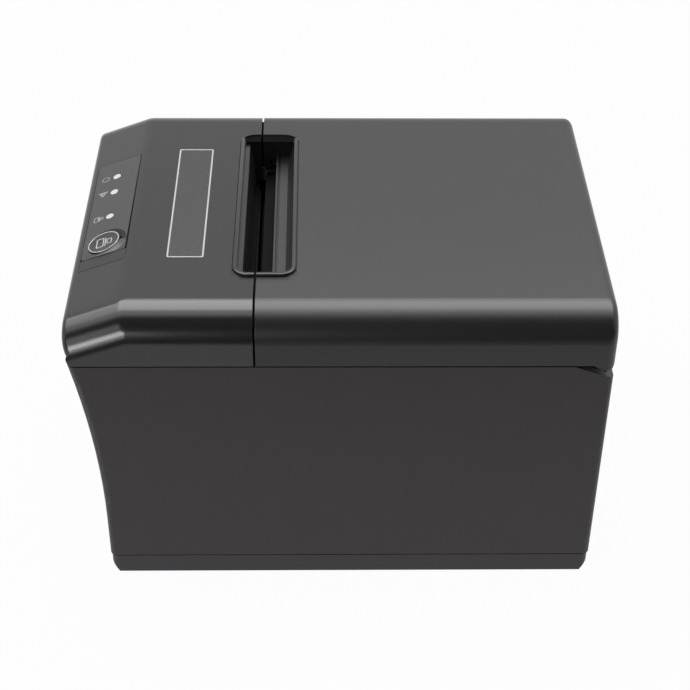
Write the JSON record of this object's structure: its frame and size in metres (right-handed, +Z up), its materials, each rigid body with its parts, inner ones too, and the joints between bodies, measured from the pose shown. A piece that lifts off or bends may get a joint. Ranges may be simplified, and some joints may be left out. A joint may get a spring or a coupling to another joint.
{
  "type": "receipt printer",
  "caption": "Boxy charcoal desktop thermal receipt printer with a slanted control panel, paper slot, hinged paper and front covers, roller, gears and cutter.",
  "frame": {"origin": "centre of the printer's outline on the plane of its feet", "axes": "+Z up, +Y towards the rear, +X to the right seen from the front"},
  "size_m": [0.145, 0.193, 0.124],
  "materials": {
    "case_plastic": "fine matte charcoal",
    "base_plastic": "fine matte charcoal",
    "cover_plastic": "satin charcoal",
    "front_plastic": "satin to gloss charcoal",
    "panel_plastic": "satin charcoal",
    "button_plastic": "satin black",
    "lens_plastic": "translucent white",
    "foot_rubber": "matte black",
    "platen_rubber": "ground matte black",
    "screw_steel": "zinc plated",
    "inner_plastic": "fine matte black",
    "board_green": "solder mask green",
    "chip_black": "moulded black",
    "socket_black": "black",
    "socket_metal": "tinned",
    "frame_steel": "zinc-coated sheet",
    "shaft_steel": "ground",
    "spring_steel": "spring wire",
    "motor_can": "plated can",
    "cutter_sheet": "zinc-coated sheet",
    "bush_plastic": "natural acetal",
    "gear_plastic": "natural acetal",
    "gear_brass": "cut brass",
    "head_aluminium": "milled",
    "head_ceramic": "glazed",
    "blade_steel": "ground tool steel",
    "reset_plastic": "moulded blue"
  },
  "bodies": {
    "chassis": {"lower_case": "case_plastic", "base_tray": "base_plastic", "rubber_feet": "foot_rubber", "base_screws": "screw_steel", "paper_bucket": "inner_plastic", "main_board": "board_green", "board_components": "chip_black", "board_screws": "screw_steel", "power_inlet": "socket_black", "data_port": "socket_metal", "network_port": "socket_metal", "drawer_port": "socket_black", "switch_housing": "socket_black", "mech_frame": "frame_steel", "head_pivot": "shaft_steel", "head_springs": "spring_steel", "feed_motor": "motor_can", "cutter_base": "cutter_sheet", "cutter_motor": "motor_can", "buzzer": "chip_black", "paper_sensor": "chip_black", "cover_switch": "chip_black"},
    "paper_cover": {"paper_cover": "cover_plastic", "platen_holder": "inner_plastic", "fixed_blade": "blade_steel", "cover_hinge_pins": "shaft_steel", "platen_bushes": "bush_plastic"},
    "platen": {"platen_shaft": "shaft_steel", "platen_rubber": "platen_rubber", "platen_gear": "gear_plastic"},
    "reduction": {"reduction_gear": "gear_plastic"},
    "motor_drive": {"motor_pinion": "gear_brass"},
    "print_head": {"head_sink": "head_aluminium", "thermal_head": "head_ceramic"},
    "blade": {"moving_blade": "blade_steel", "blade_rack": "gear_plastic"},
    "reset": {"reset_gear": "reset_plastic"},
    "cutter_drive": {"cutter_pinion": "gear_brass"},
    "front_cover": {"front_cover": "front_plastic", "panel_plate": "panel_plastic", "indicator_lenses": "lens_plastic", "panel_board": "board_green", "panel_studs": "front_plastic", "feed_switch": "chip_black", "front_hinge_pins": "shaft_steel"},
    "feed_button": {"feed_button": "button_plastic"},
    "rocker": {"power_rocker": "button_plastic"}
  },
  "joints": [
    {"name": "cover_hinge", "type": "hinge", "parent": "chassis", "child": "paper_cover", "pos_m": [0, 0.092, 0.104], "axis": [-1, 0, 0], "range_deg": [0, 95]},
    {"name": "platen_spin", "type": "hinge", "parent": "paper_cover", "child": "platen", "pos_m": [0, -0.0235, 0.096], "axis": [1, 0, 0], "continuous": true},
    {"name": "reduction_spin", "type": "hinge", "parent": "chassis", "child": "reduction", "pos_m": [-0.0625, -0.0235, 0.0808], "axis": [1, 0, 0], "continuous": true},
    {"name": "motor_spin", "type": "hinge", "parent": "chassis", "child": "motor_drive", "pos_m": [-0.065, -0.0331, 0.06417], "axis": [1, 0, 0], "continuous": true},
    {"name": "head_tilt", "type": "hinge", "parent": "chassis", "child": "print_head", "pos_m": [0, -0.0336, 0.0825], "axis": [1, 0, 0], "range_deg": [0, 2.5], "stiffness_Nm_per_rad": 1.2, "springref_deg": -2.86, "deforming": ["head_springs"]},
    {"name": "blade_slide", "type": "slide", "parent": "chassis", "child": "blade", "axis": [0, 1, 0], "range_m": [0, 0.008]},
    {"name": "reset_turn", "type": "hinge", "parent": "chassis", "child": "reset", "pos_m": [0.0176, -0.056, 0.1147], "axis": [0, 0, -1], "range_deg": [0, 82]},
    {"name": "cutter_drive_turn", "type": "hinge", "parent": "chassis", "child": "cutter_drive", "pos_m": [0.0384, -0.056, 0.1147], "axis": [0, 0, -1], "range_deg": [-274, 0]},
    {"name": "front_hinge", "type": "hinge", "parent": "chassis", "child": "front_cover", "pos_m": [0, -0.0923, 0.10595], "axis": [1, 0, 0], "range_deg": [0, 55]},
    {"name": "button_press", "type": "slide", "parent": "front_cover", "child": "feed_button", "axis": [0, 0.3502, -0.9367], "range_m": [0, 0.0006], "stiffness_N_per_m": 400, "springref_m": -0.0005},
    {"name": "rocker_tip", "type": "hinge", "parent": "chassis", "child": "rocker", "pos_m": [-0.047, 0.0923, 0.0216], "axis": [0, 0, 1], "range_deg": [0, 14]}
  ],
  "couplings": [
    {"joint": "reduction_spin", "follows": "platen_spin", "ratio": -1.375},
    {"joint": "motor_spin", "follows": "platen_spin", "ratio": 4.125},
    {"joint": "reset_turn", "follows": "blade_slide", "rad_per_m": 178.57},
    {"joint": "cutter_drive_turn", "follows": "blade_slide", "rad_per_m": -595.24}
  ]
}
